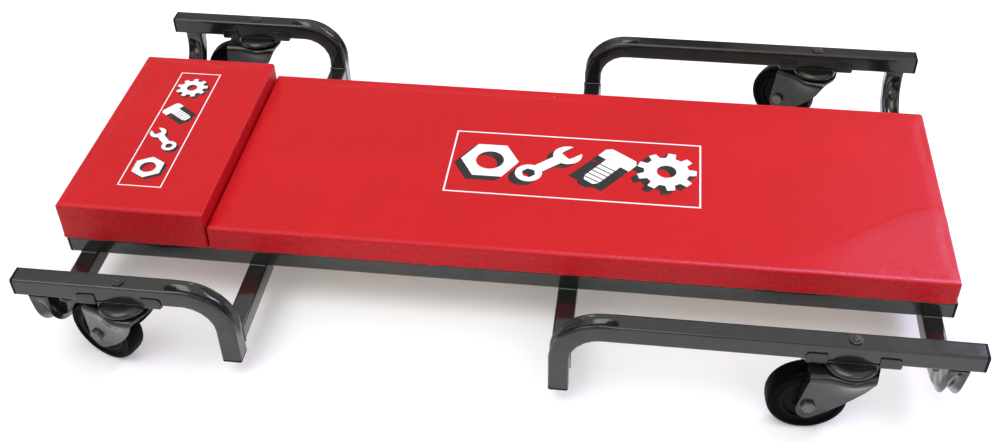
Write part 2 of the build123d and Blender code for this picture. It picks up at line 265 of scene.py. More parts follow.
def mat_cap():
    n = Nodes("moulded_black_plastic")
    grain = n.voronoi(900.0)
    mid = n.noise(120.0, 3.0)
    col = n.mix(n.remap(mid, 0.35, 0.7, 0.0, 1.0), (0.0018, 0.0018, 0.0016), (0.0035, 0.0035, 0.003))
    return n.set(color=col, rough=n.remap(mid, 0.3, 0.7, 0.36, 0.52), normal=n.bump(grain, 0.15, 0.0003), spec=0.12)


def mat_rubber():
    n = Nodes("hard_rubber")
    mid = n.noise(90.0, 4.0, 0.6)
    dust = n.remap(n.noise(34.0, 5.0, 0.65), 0.52, 0.75, 0.0, 0.55)
    col = n.mix(dust, (0.0003, 0.0004, 0.0002), (0.0020, 0.0023, 0.0014))
    nrm = n.bump(n.noise(1500.0, 2.0), 0.12, 0.0003, n.bump(mid, 0.15, 0.0008))
    return n.set(color=col, rough=n.remap(mid, 0.3, 0.7, 0.38, 0.54), normal=nrm, spec=0.035)


def mat_core():
    n = Nodes("wheel_core_plastic")
    mid = n.noise(120.0, 3.0, 0.6)
    col = n.mix(n.remap(mid, 0.35, 0.7, 0.0, 1.0), (0.0007, 0.0008, 0.0006), (0.0024, 0.0026, 0.0020))
    return n.set(color=col, rough=n.remap(mid, 0.3, 0.7, 0.30, 0.42), normal=n.bump(n.noise(1100.0), 0.1, 0.0003), spec=0.06)


def mat_vinyl():
    n = Nodes("vinyl_red_grain")
    cloud = n.noise(9.0, 3.0, 0.55)
    mott = n.noise(150.0, 4.0, 0.62)
    grain = n.voronoi(1150.0, rand=0.95)
    pore = n.noise(2300.0, 2.0)
    side = n.add("ShaderNodeSeparateXYZ", {"Vector": n.add("ShaderNodeNewGeometry").outputs["Normal"]}).outputs["Z"]
    wall = n.remap(n.math("ABSOLUTE", side), 0.35, 0.8, 1.0, 0.0)
    lo, hi = (0.480, 0.0042, 0.0060), (0.520, 0.0056, 0.0078)
    col = n.mix(n.remap(cloud, 0.35, 0.68, 0.0, 1.0), lo, hi)
    col = n.mix(n.remap(mott, 0.42, 0.66, 0.0, 0.22), col, (0.50, 0.004, 0.007))
    # painted shade: the side walls darker than the top, mottled by noise
    side_shade = n.math("MULTIPLY", wall, n.remap(n.noise(170.0, 5.0, 0.7), 0.38, 0.64, 0.12, 0.95))
    col = n.mix(side_shade, col, (0.34, 0.0025, 0.006))
    # chalky marks left by use
    scuff = n.remap(n.noise(26.0, 6.0, 0.72, 0.6), 0.60, 0.74, 0.0, 0.06)
    col = n.mix(scuff, col, (0.70, 0.10, 0.13))
    # painted glints: fine lighter specks, as grain catching light
    glint_speck = n.remap(n.noise(430.0, 3.0, 0.65), 0.36, 0.62, 0.0, 1.0)
    col = n.mix(n.math("MULTIPLY", glint_speck, 0.22), col, (0.60, 0.018, 0.026))
    # painted sheen: a pink highlight line along the near upper edge, and a pink sheen over the near foot corner below
    # the fold
    place = n.add("ShaderNodeSeparateXYZ", {"Vector": n.xyz})
    x, y = place.outputs["X"], place.outputs["Y"]
    line = n.math("MULTIPLY", n.remap(y, -0.1405, -0.1390, 0.0, 1.0), n.remap(y, -0.1388, -0.1355, 1.0, 0.0))
    line = n.math("MULTIPLY", line, n.remap(x, 0.0, 0.32, 0.10, 0.44))
    t = n.remap(x, 0.282, 0.452, 0.0, 1.0)
    t = n.math("MULTIPLY", n.math("MULTIPLY", t, t), n.math("SUBTRACT", 3.0, n.math("MULTIPLY", t, 2.0)))
    q = n.math("SUBTRACT", y, n.math("ADD", n.math("MULTIPLY", t, 0.092), -0.121))
    fold = n.math("MULTIPLY", n.remap(q, -0.005, 0.001, 1.0, 0.0), n.remap(x, 0.29, 0.37, 0.0, 0.075))
    painted_sheen = n.math("MULTIPLY", n.math("ADD", line, fold), n.math("SUBTRACT", 1.0, wall))
    painted_sheen = n.math("MULTIPLY", painted_sheen, n.math("ADD", n.math("MULTIPLY", glint_speck, 0.75), 0.55))
    col = n.mix(painted_sheen, col, (0.64, 0.19, 0.31))
    rgh = n.remap(n.noise(30.0, 4.0, 0.6), 0.3, 0.7, 0.36, 0.47)
    b1 = n.bump(cloud, 0.25, 0.0030)
    b2 = n.bump(mott, n_wall_strength(n, wall), 0.0008, b1)
    b3 = n.bump(n.noise(600.0, 2.0), 0.30, 0.0005, b2)
    b3 = n.bump(grain, 0.25, 0.00030, b3)
    b4 = n.bump(pore, 0.06, 0.0002, b3)
    return n.set(color=col, rough=rgh, normal=b4, spec=0.19)


def n_wall_strength(n, wall):
    return n.remap(wall, 0.0, 1.0, 0.12, 0.55)


def _bump(self, height, strength, distance, normal=None):
    n = self.add("ShaderNodeBump")
    self.put(n.inputs["Height"], height)
    self.put(n.inputs["Strength"], strength)
    n.inputs["Distance"].default_value = distance
    if normal is not None:
        self.put(n.inputs["Normal"], normal)
    return n.outputs["Normal"]


Nodes.bump = _bump


def mat_ink(name, lo, hi, rough):
    n = Nodes(name)
    mid = n.noise(240.0, 4.0, 0.6)
    col = n.mix(n.remap(mid, 0.35, 0.68, 0.0, 1.0), lo, hi)
    nrm = n.bump(n.voronoi(1150.0, rand=0.95), 0.18, 0.00025)
    return n.set(color=col, rough=n.remap(mid, 0.3, 0.7, rough - 0.05, rough + 0.06), normal=nrm, spec=0.4)


def mat_plywood():
    n = Nodes("birch_plywood")
    v = n.stretch((2.2, 26.0, 40.0))
    rings = n.noise(9.0, 6.0, 0.65, 1.2, v)
    fine = n.noise(60.0, 4.0, 0.7, 0.3, v)
    col = n.mix(n.remap(rings, 0.35, 0.68, 0.0, 1.0), (0.42, 0.27, 0.13), (0.62, 0.45, 0.26))
    col = n.mix(n.remap(fine, 0.45, 0.7, 0.0, 0.5), col, (0.30, 0.18, 0.085))
    return n.set(color=col, rough=n.remap(fine, 0.3, 0.7, 0.55, 0.75), normal=n.bump(fine, 0.35, 0.0004))


def mat_foam():
    n = Nodes("foam_cream")
    cell = n.voronoi(900.0)
    mid = n.noise(60.0, 3.0)
    col = n.mix(n.remap(mid, 0.35, 0.7, 0.0, 1.0), (0.62, 0.55, 0.36), (0.74, 0.68, 0.50))
    return n.set(color=col, rough=n.remap(mid, 0.3, 0.7, 0.85, 0.97), normal=n.bump(cell, 0.6, 0.0006))


PAINT = mat_frame_paint()
PAINT_BENT_SHADED = mat_frame_paint("frame_paint_bent_shaded", fold_shading=True)
WELD = mat_frame_paint("weld_paint", base=0.055, rough=0.32, coat=0.35, wave=0.4)
STAMPED = mat_stamped()
BOLT = mat_bolt()
AXLE = mat_bolt("bolt_axle", base=0.125, rough=0.42)
BRIGHT = mat_bright()
CAP = mat_cap()
RUBBER = mat_rubber()
CORE = mat_core()
VINYL = mat_vinyl()
WOOD = mat_plywood()
FOAM = mat_foam()
INK_WHITE = mat_ink("print_white", (0.86, 0.86, 0.84), (0.93, 0.93, 0.92), 0.42)
INK_BLACK = mat_ink("print_black", (0.010, 0.009, 0.007), (0.018, 0.016, 0.013), 0.45)

NODE_MATS = [
    ("rail_end_caps", CAP), ("arm_end_caps", CAP), ("leg_end_caps", CAP),
    ("rail", PAINT), ("crosstube", PAINT), ("arm", PAINT),
    ("saddle", STAMPED), ("fork", STAMPED), ("ball_ring", BRIGHT),
    ("axle_bolt", AXLE), ("axle_nut", AXLE), ("kingpin_nuts", BRIGHT), ("kingpin_bolts", BOLT),
    ("pad_staples", BRIGHT), ("pad_screws", BRIGHT),
    ("wheel_tread", RUBBER), ("wheel_core", CORE), ("wheel_bushing", BRIGHT),
    ("headrest_board", WOOD), ("bed_board", WOOD), ("headrest_foam", FOAM), ("bed_foam", FOAM),
    ("headrest_cover", VINYL), ("bed_cover", VINYL),
]
BEVEL = {
    "rail": 0.25, "crosstube": 0.25, "arm": 0.25, "saddle": 0.35, "fork": 0.4, "axle_bolt": 0.25, "axle_nut": 0.2,
    "kingpin_bolts": 0.2, "wheel_tread": 0.3, "wheel_core": 0.3, "rail_end": 0.15, "arm_end": 0.15, "leg_end": 0.15,
}


def dress_nodes():
    for name, o in NODES.items():
        mat = next(m for k, m in NODE_MATS if name.startswith(k))
        for i in range(max(1, len(o.material_slots))):
            if i < len(o.material_slots):
                o.material_slots[i].material = mat
            else:
                o.data.materials.append(mat)
        w = next((v for k, v in BEVEL.items() if name.startswith(k)), None)
        if w is None or "caps" in name and False:
            continue
        if "custom_normal" in o.data.attributes:
            o.data.attributes.remove(o.data.attributes["custom_normal"])
        o.data.shade_smooth()
        weld = o.modifiers.new("weld", "WELD")
        weld.merge_threshold = 1e-5
        bev = o.modifiers.new("bevel", "BEVEL")
        bev.width = w * MM
        bev.segments = 2
        bev.limit_method = "ANGLE"
        bev.angle_limit = math.radians(32)
        bev.harden_normals = True
        bev.use_clamp_overlap = True


dress_nodes()


# ------------------------------------------------------------- swept tubes
def outline(half, r, n_flat=12, n_arc=5):
    """Rounded square as (across, outward) points."""
    pts = []
    k = half - r
    corners = [(k, k, 0), (-k, k, 90), (-k, -k, 180), (k, -k, 270)]
    for i, (cx, cy, a0) in enumerate(corners):
        for j in range(n_arc + 1):
            a = math.radians(a0 + 90 * j / n_arc)
            pts.append((cx + r * math.cos(a), cy + r * math.sin(a)))
        nx, ny, b0 = corners[(i + 1) % 4]
        a = math.radians(b0)
        end = (nx + r * math.cos(a), ny + r * math.sin(a))
        st = pts[-1]
        for j in range(1, n_flat):
            t = j / n_flat
            pts.append((st[0] + (end[0] - st[0]) * t, st[1] + (end[1] - st[1]) * t))
    return np.array(pts)


OUT = outline(TUBE / 2, TUBE_R)
INN = outline(TUBE / 2 - WALL, TUBE_R - WALL)


def tube_mesh(name, stations, shape, body="frame"):
    """stations: (centre, across axis, outward axis, s). shape(a, b, s) moves section points."""
    n = len(OUT)
    verts, faces, fold_shades = [], [], []
    for ring in (OUT, INN):
        for c, ax, nx, s in stations:
            a, b, g = shape(ring[:, 0].copy(), ring[:, 1].copy(), s)
            fold_shades.append(np.clip(g, 0.0, 1.0))
            verts.append(np.array(c)[None, :] + a[:, None] * np.array(ax)[None, :] + b[:, None] * np.array(nx)[None, :])
    m = len(stations)
    verts = np.concatenate(verts)
    for layer in (0, 1):
        off = layer * m * n
        for i in range(m - 1):
            for j in range(n):
                k = (j + 1) % n
                q = (off + i * n + j, off + i * n + k, off + (i + 1) * n + k, off + (i + 1) * n + j)
                faces.append(q if layer == 0 else q[::-1])
    for i in (0, m - 1):
        for j in range(n):
            k = (j + 1) % n
            faces.append((i * n + j, i * n + k, m * n + i * n + k, m * n + i * n + j))
    o = new_object(name, verts, faces, [PAINT_BENT_SHADED])
    # per-vertex painted shade for the crushed folds, read by the bent frame paint
    at = o.data.attributes.new("fold_shade", "FLOAT", "POINT")
    at.data.foreach_set("value", np.concatenate(fold_shades).astype(np.float32))
    o.data.set_sharp_from_angle(angle=math.radians(52))
    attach(o, body)
    return o


def steps(a, b, pitch):
    k = max(1, int(round(abs(b - a) / pitch)))
    return [a + (b - a) * i / k for i in range(k + 1)]


BEND_L = BEND_R * math.pi / 2


def arm_stations(x_leg, sign, y):
    xb, zb = x_leg + sign * BEND_R, ARM_ZC - BEND_R
    x_end = sign * (ARM_END - CAP_T)
    st = []
    run = abs(x_end - xb)
    for s in steps(-run, -24.0, 6.0)[:-1] + steps(-24.0, 0.0, 1.2)[:-1]:
        st.append(((xb - sign * s, y, ARM_ZC), (0, 1, 0), (0, 0, 1), s))
    for s in steps(0.0, BEND_L, 1.3):
        p = s / BEND_R
        nx = (-sign * math.sin(p), 0, math.cos(p))
        st.append(((xb - sign * BEND_R * math.sin(p), y, zb + BEND_R * math.cos(p)), (0, 1, 0), nx, s))
    leg = zb - (LEG_Z0 + CAP_T)
    for s in steps(0.0, 24.0, 1.5)[1:] + steps(24.0, leg, 4.0)[1:]:
        st.append(((x_leg, y, zb - s), (0, 1, 0), (-sign, 0, 0), BEND_L + s))
    return st


def arm_shape(cam_side, seed, depth, fold_shade_weight=1.0):
    """Crushed outer wall of a press-bent outrigger."""

    def shape(a, b, s):
        sa = a * cam_side
        w = float(smooth(-15.0, -4.0, s) * (1 - smooth(BEND_L * 0.80, BEND_L + 14.0, s)))
        wide = float(smooth(-18.0, 8.0, s) * (1 - smooth(BEND_L * 0.85, BEND_L + 16.0, s)))
        top = smooth(1.0, 8.6, b)
        bot = smooth(1.0, 8.4, -b)
        wig = 0.8 * nz(s * 0.07, 0.3, 0.1, seed)
        edge = 5.4 + 1.7 * wide - 1.6 * float(smooth(BEND_L * 0.5, BEND_L + 10.0, s))
        v = 1 - smooth(edge - 2.2, edge + 0.4, np.abs(sa - 0.9 - wig * 0.5))
        late = float(smooth(-8.0, 34.0, s) * (1 - smooth(BEND_L * 0.80, BEND_L + 14.0, s)))
        near = smooth(-3.5, 2.5, sa)
        w = w * near + late * (1 - near)
        dep = depth * w * (0.84 + 0.16 * math.cos((s - 16) * 0.13)) * v
        streak = 0.62 + 0.38 * np.sin(sa * 2.3 + s * 0.11 + seed)
        # g is painted shade: dark in the pocket, along the fold lines and under the valley edge; the fourth argument
        # sets how strong it is along the fold
        g = 0.9 * near * float(np.exp(-(((s + 8.5) / 6.0) ** 4))) * smooth(7.4, 5.4, np.abs(sa))
        g = g + fold_shade_weight * 1.3 * w * streak * np.exp(-(((sa - 4.3 + wig * 0.6) / 2.8) ** 4))
        for c, d, t, k0, k1 in (
            (5.6 + wig, 1.3, 0.8, -0.25, 0.95), (3.0 + wig * 1.4, 0.9, 0.7, -0.1, 0.85), (-0.4 + wig * 1.6, 0.55, 0.6, 0.15, 0.7),
            (-4.3 - wig, 0.8, 0.7, 0.2, 0.95)
        ):
            on = float(smooth(k0 * BEND_L, (k0 + 0.2) * BEND_L, s) * (1 - smooth((k1 - 0.2) * BEND_L, k1 * BEND_L, s)))
            e = on * w * np.exp(-(((sa - c) / t) ** 2))
            dep = dep + d * e
            g = g + (0.85 if c > 1.5 else 0.6) * e
        dep = dep - 1.0 * w * np.exp(-(((sa - 1.8 + wig) / 1.1) ** 2)) * float(smooth(0, 14, s))
        # deep ragged pocket where the wall starts to fold in, on one side
        rag = 1.4 * nz(s * 0.45, 1.0, 2.0, seed)
        pk = np.exp(-(((s + 6.5) / 5.2) ** 4)) * np.exp(-(((sa - 4.4 - rag) / 1.5) ** 2))
        dep = dep + 2.2 * pk
        # painted shade in the pocket
        g = g + 1.5 * np.exp(-(((s + 6.0) / 7.0) ** 4)) * np.exp(-(((sa - 4.2 - rag) / 2.4) ** 2))
        g = g + 0.8 * w * np.exp(-(((np.abs(sa - wig * 0.5) - edge + 0.4) / 0.8) ** 2)) * (sa > 0)
        rim = 0.35 * wide * np.exp(-(((np.abs(a) - 8.0) / 1.2) ** 2))
        b2 = b - top * dep + top * rim
        b2 = b2 + bot * wide * (0.9 * np.clip(1 - (a / 8.0) ** 2, 0, 1) + 0.12 * math.sin(s * 0.5 + seed))
        side = np.clip(1 - (b / 10.0) ** 2, 0, 1)
        swell = 0.5 * wide * side + 0.15 * wide * side * math.sin(s * 0.30 + seed * 2.0)
        a2 = a + np.sign(a) * swell * smooth(5.0, 9.0, np.abs(a))
        a2 = a2 - np.sign(a) * 0.7 * wide * smooth(6.0, 9.5, b) * smooth(6.0, 9.5, np.abs(a))
        return a2, b2, g * smooth(0.0, 6.0, b)

    return shape


def punch(o, holes):
    """Cuts round vertical holes (x, y, r, z0, z1) right through."""
    bm = bmesh.new()
    for x, y, r, z0, z1 in holes:
        bmesh.ops.create_cone(
            bm, cap_ends=True, segments=40, radius1=r * MM, radius2=r * MM, depth=(z1 - z0) * MM,
            matrix=Matrix.Translation(Vector((x, y, (z0 + z1) / 2)) * MM),
        )
    me = bpy.data.meshes.new("cutter")
    bm.to_mesh(me)
    bm.free()
    cut = bpy.data.objects.new("cutter", me)
    SC.collection.objects.link(cut)
    mod = o.modifiers.new("holes", "BOOLEAN")
    mod.object, mod.operation, mod.solver = cut, "DIFFERENCE", "EXACT"
    apply_modifiers(o)
    bpy.data.objects.remove(cut)
    bpy.data.meshes.remove(me)


def make_arms():
    for i, (end, side) in enumerate((("head", -1), ("head", 1), ("foot", -1), ("foot", 1))):
        x_leg, sign, pin = (LEG_X_HEAD, -1, PIN_X_HEAD) if end == "head" else (LEG_X_FOOT, 1, PIN_X_FOOT)
        y = side * ARM_Y
        label = f"arm_{end}_{'right' if side < 0 else 'left'}"
        o = tube_mesh("look_" + label, arm_stations(x_leg, sign, y), arm_shape(-1, 1.0 + i, 4.6 if end == "head" else 3.8, 1.0 if end == "head" else 0.5))
        punch(o, [(pin, y, 5.1, ARM_Z0 - 2, ARM_Z0 + TUBE + 2)])
        o.data.set_sharp_from_angle(angle=math.radians(52))
        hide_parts(label)


def u_stations(x):
    yb, zb = ARM_Y - BEND_R, CROSS_ZC + BEND_R
    st = []
    for side in (-1, 1):
        half = []
        for s in steps(-(ARM_Z0 - zb), 0.0, 1.2)[:-1]:
            half.append(((x, side * ARM_Y, zb - s), (side, 0, 0), (0, side, 0), s))
        for s in steps(0.0, BEND_L, 1.3)[:-1]:
            p = s / BEND_R
            c = (x, side * (yb + BEND_R * math.cos(p)), zb - BEND_R * math.sin(p))
            half.append((c, (side, 0, 0), (0, side * math.cos(p), -math.sin(p)), s))
        run = steps(0.0, 26.0, 1.4)[:-1] + steps(26.0, yb, 7.0)
        for s in run if side < 0 else run[:-1]:
            half.append(((x, side * (yb - s), CROSS_ZC), (side, 0, 0), (0, 0, -1), BEND_L + s))
        if side > 0:
            half = [(c, (-a[0], 0, 0), nx, s) for c, a, nx, s in half][::-1]
            half = [(c, a, nx, s + 1000.0) for c, a, nx, s in half]
        st += half
    return st


def u_shape(seed, slot_end):
    """Outer wall folded into two lobes, inner wall dented round a small bump."""

    def shape(a, b, s):
        far = s > 900
        s = s - 1000.0 if far else s
        k = seed + (5 if far else 0)
        x_dir = -1 if not far else -1
        ax = a * x_dir
        w = float(smooth(-9.5, 13.0, s) * (1 - smooth(BEND_L * 0.80, BEND_L + 18.0, s)))
        top = smooth(0.5, 8.6, b)
        bot = smooth(0.5, 8.4, -b)
        wig = 0.5 * nz(s * 0.06, 0.3, 0.7, k)
        u = np.abs(a - wig) / 7.3
        v = np.where(u < 1, (1 - u) ** 1.12, 0.0)
        lobe = 0.13 * np.clip(np.abs(a) - 7.0, 0, 4) ** 2
        dep = 6.6 * w * v + w * lobe * 2.2
        dep += 0.35 * w * math.sin(s * 0.35 + k) * np.exp(-(((np.abs(a) - 5.0) / 1.6) ** 2))
        slot_shade = 0.0 * a
        if slot_end and not far:
            h1 = np.exp(-(((s + 6.0) / 1.3) ** 4)) * np.exp(-(((ax - 1.0) / 2.0) ** 4))
            h2 = np.exp(-(((s + 3.5 + (ax + 6.0) * 0.9) / 1.1) ** 2)) * np.exp(-(((ax + 6.2) / 1.8) ** 2))
            dep = dep + 2.2 * h1 + 0.8 * h2
            # painted shade in the crushed slot
            slot_shade = (1.5 * h1 + 0.8 * h2) * smooth(5.0, 9.0, b)
        phi = math.degrees(min(max(s, 0.0), BEND_L) / BEND_R)
        dent = 4.2 * w * np.clip(1 - (a / 7.6) ** 2, 0, 1) ** 1.2
        dent = dent - 3.4 * w * math.exp(-(((phi - 34) / 8.5) ** 2)) * np.exp(-((a / 3.0) ** 2))
        dent = dent + 0.07 * w * math.sin(s * 0.5 + k)
        b2 = b - top * dep + bot * dent
        side = np.clip(1 - (b / 10.0) ** 2, 0, 1)
        swell = 0.5 * w * side * smooth(5.0, 9.0, np.abs(a)) * (1 + 0.4 * math.sin(s * 0.3 + k))
        a2 = a + np.sign(a) * swell
        a2 = a2 - np.sign(a) * 1.5 * w * smooth(5.0, 9.8, b) * smooth(6.0, 9.8, np.abs(a))
        # g is painted shade along the valley line, plus the slot
        g = 0.9 * w * np.exp(-(((a - wig) / 0.9) ** 2)) * smooth(0, 6, b) + slot_shade
        return a2, b2, g

    return shape


def make_us():
    for name, x, seed in (("crosstube_head", CROSS_X[0], 11.0), ("crosstube_foot", CROSS_X[3], 12.0)):
        o = tube_mesh("look_" + name, u_stations(x), u_shape(seed, name.endswith("foot")))
        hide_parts(name)


make_arms()
make_us()


# ------------------------------------------------- stamped saddles and forks
def round_poly(points, radii, n=6):
    """Rounds the corners of a closed polygon."""
    out = []
    m = len(points)
    for i, (p, r) in enumerate(zip(points, radii)):
        p, a, b = Vector(p), Vector(points[i - 1]), Vector(points[(i + 1) % m])
        if r <= 0:
            out.append(tuple(p))
            continue
        u, v = (a - p), (b - p)
        lu, lv = u.length, v.length
        u.normalize()
        v.normalize()
        half = math.acos(max(-1.0, min(1.0, u.dot(v)))) / 2
        d = min(r / math.tan(half), lu * 0.48, lv * 0.48)
        p0, p1 = p + u * d, p + v * d
        for k in range(n + 1):
            t = k / n
            out.append(tuple(p0 * (1 - t) ** 2 + p * 2 * t * (1 - t) + p1 * t * t))
    return out


def lathe(profile, n=96):
    """Closed (radius, height) profile turned about the vertical axis; radius 0 ends make it solid."""
    verts, faces, rows = [], [], []
    for r, z in profile:
        if r < 1e-6:
            rows.append([len(verts)])
            verts.append((0, 0, z))
        else:
            rows.append(list(range(len(verts), len(verts) + n)))
            verts += [(r * math.cos(2 * math.pi * i / n), r * math.sin(2 * math.pi * i / n), z) for i in range(n)]
    for a, b in zip(rows, rows[1:]):
        for i in range(n):
            j = (i + 1) % n
            if len(a) == 1 and len(b) == 1:
                continue
            if len(a) == 1:
                faces.append((a[0], b[i], b[j]))
            elif len(b) == 1:
                faces.append((a[i], b[0], a[j]))
            else:
                faces.append((a[i], b[i], b[j], a[j]))
    return verts, faces


def slab(poly, t, to3d, bevel):
    """Extruded polygon with bevelled edges; to3d(x, y, z) places it."""
    bm = bmesh.new()
    face = bm.faces.new([bm.verts.new((x, y, 0)) for x, y in poly])
    top = bmesh.ops.extrude_face_region(bm, geom=[face])["geom"]
    bmesh.ops.translate(bm, verts=[g for g in top if isinstance(g, bmesh.types.BMVert)], vec=(0, 0, t))
    bmesh.ops.recalc_face_normals(bm, faces=bm.faces)
    sharp = [e for e in bm.edges if len(e.link_faces) == 2 and e.calc_face_angle() > math.radians(50)]
    bmesh.ops.bevel(bm, geom=sharp, offset=bevel, segments=3, profile=0.6, affect="EDGES", clamp_overlap=True)
    bm.verts.index_update()
    verts = [to3d(*v.co) for v in bm.verts]
    faces = [tuple(v.index for v in f.verts) for f in bm.faces]
    bm.free()
    return verts, faces


def join(parts):
    verts, faces = [], []
    for v, f in parts:
        off = len(verts)
        verts += list(v)
        faces += [tuple(i + off for i in face) for face in f]
    return verts, faces


def make_saddle(name, px, py):
    parts = []
    plate = [(-43, -10), (43, -10), (43, 10), (-43, 10)]
    parts.append(slab(round_poly(plate, [2] * 4), 2.5, lambda x, y, z: (px + x, py + y, ARM_Z0 - 2.5 + z - 0.01), 0.45))
    low, high = ARM_Z0 - 2.5, ARM_Z0 + 9.7
    for sx in (-1, 1):
        for sy in (-1, 1):
            x0, x1 = sx * 23.0, sx * 43.0
            poly = round_poly([(x0, low), (x1, low), (x1, high - 0.3), (x0, high)], [1.2, 2.2, 5.0, 1.6])
            parts.append(slab(poly, 1.5, lambda x, y, z, sy=sy: (px + x, py + sy * (9.95 + z), y), 0.45))
    race = [(0, 90.3), (13, 90.3), (18.6, 90.15), (21.2, 89.7), (23.1, 88.8), (24.5, 87.5), (25.2, 86.2), (25.4, 85.0),
            (24.7, 84.7), (23.9, 85.0), (23.4, 86.2), (22.2, 87.3), (20.0, 87.9), (13, 88.0), (0, 88.0)]
    v, f = lathe(race)
    parts.append(([(px + a, py + b, c) for a, b, c in v], f))
    verts, faces = join(parts)
    o = new_object("look_saddle_" + name, verts, faces, [STAMPED])
    o.data.set_sharp_from_angle(angle=math.radians(50))
    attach(o, "frame")
    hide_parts("saddle_" + name)


CROWN_Z, FORK_THICK, FORK_BEND = 82.15, 2.3, 5.5
FORK_ARC = FORK_BEND * math.pi / 2
FORK_OUTLINE = [
    (27.3, -15.0), (26.8, -9.5), (25.2, -4.5), (23.6, 0.0), (22.4, 4.5), (21.6, 8.6), (14.2, 23.4), (5.6, 34.6), (-3.2, 44.2),
    (-14.0, 54.2), (-31.0, 65.0), (-35.6, 65.4), (-42.4, 60.4), (-44.8, 51.6), (-38.6, 9.5), (-37.8, 0.0), (-37.8, -15.0),
]
FORK_ROUND = [0, 3, 4, 5, 5, 6, 10, 12, 12, 10, 4, 4, 5, 5, 20, 4, 0]


def fork_point(x, h, side):
    """From the flat blank of one side, (x, h), to the pressed shape."""
    bulge = math.exp(-(((x - 1.5) / 15.0) ** 2))
    yb = 15.0 + 5.6 * bulge
    if h < 0:
        return Vector((x, side * yb * (1 + h / 15.0), CROWN_Z - 0.35 * smooth(-4.0, 1.0, h) / 0.896))
    if h <= FORK_ARC:
        t = h / FORK_BEND
        return Vector((x, side * (yb + FORK_BEND * math.sin(t)), CROWN_Z - 0.35 - FORK_BEND * (1 - math.cos(t))))
    q = h - FORK_ARC
    s = max(0.0, 1 - q / 44.0) ** 1.15
    y = 14.8 + 5.4 * s + 0.3 * math.exp(-q / 3.0) * (q < 30) + (5.3 + 0.3 * math.exp(-q)) * bulge * math.exp(-((q / 10.0) ** 1.4))
    return Vector((x, side * y, CROWN_Z - 0.35 - FORK_BEND - q))


def fork_normal(x, h, side, e=0.05):
    across = fork_point(x + e, h, side) - fork_point(x - e, h, side)
    along = fork_point(x, h + e, side) - fork_point(x, h - e, side)
    return across.cross(along).normalized() * side


def make_fork(name, px, py, yaw):
    poly = [Vector(p) for p in round_poly(FORK_OUTLINE, FORK_ROUND)]
    # points at even pitch along the rim
    dense = []
    for a, b in zip(poly, poly[1:] + poly[:1]):
        k = max(1, int((b - a).length / 0.1))
        dense += [a.lerp(b, i / k) for i in range(k)]
    edge = []
    for q in dense:
        if not edge or (q - edge[-1]).length > 1.5:
            edge.append(q)
    if (edge[-1] - edge[0]).length < 1.0:
        edge.pop()
    line = [q for q in edge if abs(q.y + 15.0) < 1e-6]
    edge = [q for q in edge if abs(q.y + 15.0) >= 1e-6]
    last = [Vector((27.3 - 65.1 * i / 36, -15.0)) for i in range(37)]
    at = next(i for i in range(len(edge)) if (edge[i] - last[-1]).length > 5 and (edge[i - 1] - last[-1]).length < 5)
    edge = edge[at:] + edge[:at]
    edge = [q for q in edge if (q - last[0]).length > 0.8 and (q - last[-1]).length > 0.8] + last[::-1]
    # a row of points parallel to the rim, so that the faces along the rim are even
    turn = sum(a.x * b.y - b.x * a.y for a, b in zip(edge, edge[1:] + edge[:1]))
    inner = []
    for i, q in enumerate(edge):
        d = edge[(i + 1) % len(edge)] - edge[i - 1]
        if d.length < 1e-6 or (abs(q.y + 15.0) < 1e-6 and 0 < i):
            continue
        d.normalize()
        r = q + Vector((-d.y, d.x)) * (1.35 if turn > 0 else -1.35)
        if inside(r, edge) and min((r - e).length for e in edge) > 1.15 and all((r - e).length > 0.8 for e in inner):
            inner.append(r)
    for i in range(-23, 15):
        for j in range(-7, 35):
            q = Vector((i * 2.0 + 0.7 * (j % 2), j * 2.0))
            if inside(q, edge) and min((q - e).length for e in edge) > 2.3 and min((q - e).length for e in inner) > 0.9:
                inner.append(q)
    vo, _, fo, _, _, _ = geometry.delaunay_2d_cdt(edge + inner, [], [list(range(len(edge)))], 1, 1e-6, False)
    c, s = math.cos(math.radians(yaw)), math.sin(math.radians(yaw))
    count = len(vo)
    used = {(f[k - 1], f[k]) for f in fo for k in range(len(f))}
    rim = sorted((i, j) for i, j in used if (j, i) not in used)
    rim = [(i, j) for i, j in rim if abs(vo[i][1] + 15.0) > 1e-4 or abs(vo[j][1] + 15.0) > 1e-4]
    verts, faces = [], []
    for side in (-1, 1):
        off = len(verts)
        for depth in (0.0, FORK_THICK):
            for v in vo:
                q = fork_point(v[0], v[1], side) - fork_normal(v[0], v[1], side) * depth
                verts.append((px + q.x * c - q.y * s, py + q.x * s + q.y * c, q.z))
        flip = 1 if side > 0 else -1
        faces += [tuple(i + off for i in f[::-flip]) for f in fo]
        faces += [tuple(i + off + count for i in f[::flip]) for f in fo]
        faces += [tuple(k + off for k in (i, j, j + count, i + count)[::flip]) for i, j in rim]
    o = new_object("look_fork_" + name, verts, faces, [STAMPED], recalc=False)
    bm = bmesh.new()
    bm.from_mesh(o.data)
    seam = [v for v in bm.verts if abs((v.co.x * 1000 - px) * -s + (v.co.y * 1000 - py) * c) < 0.02]
    bmesh.ops.remove_doubles(bm, verts=seam, dist=2e-5)
    bmesh.ops.recalc_face_normals(bm, faces=bm.faces)
    bm.to_mesh(o.data)
    bm.free()
    o.data.shade_smooth()
    o.data.set_sharp_from_angle(angle=math.radians(48))
    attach(o, "swivel_" + name)
    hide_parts("fork_" + name)


def inside(pt, poly):
    x, y = pt
    hit = False
    j = len(poly) - 1
    for i in range(len(poly)):
        xi, yi = poly[i]
        xj, yj = poly[j]
        if (yi > y) != (yj > y) and x < (xj - xi) * (y - yi) / (yj - yi) + xi:
            hit = not hit
        j = i
    return hit


for caster, (kx, ky, kyaw) in CASTERS.items():
    make_saddle(caster, kx, ky)
    make_fork(caster, kx, ky, kyaw)


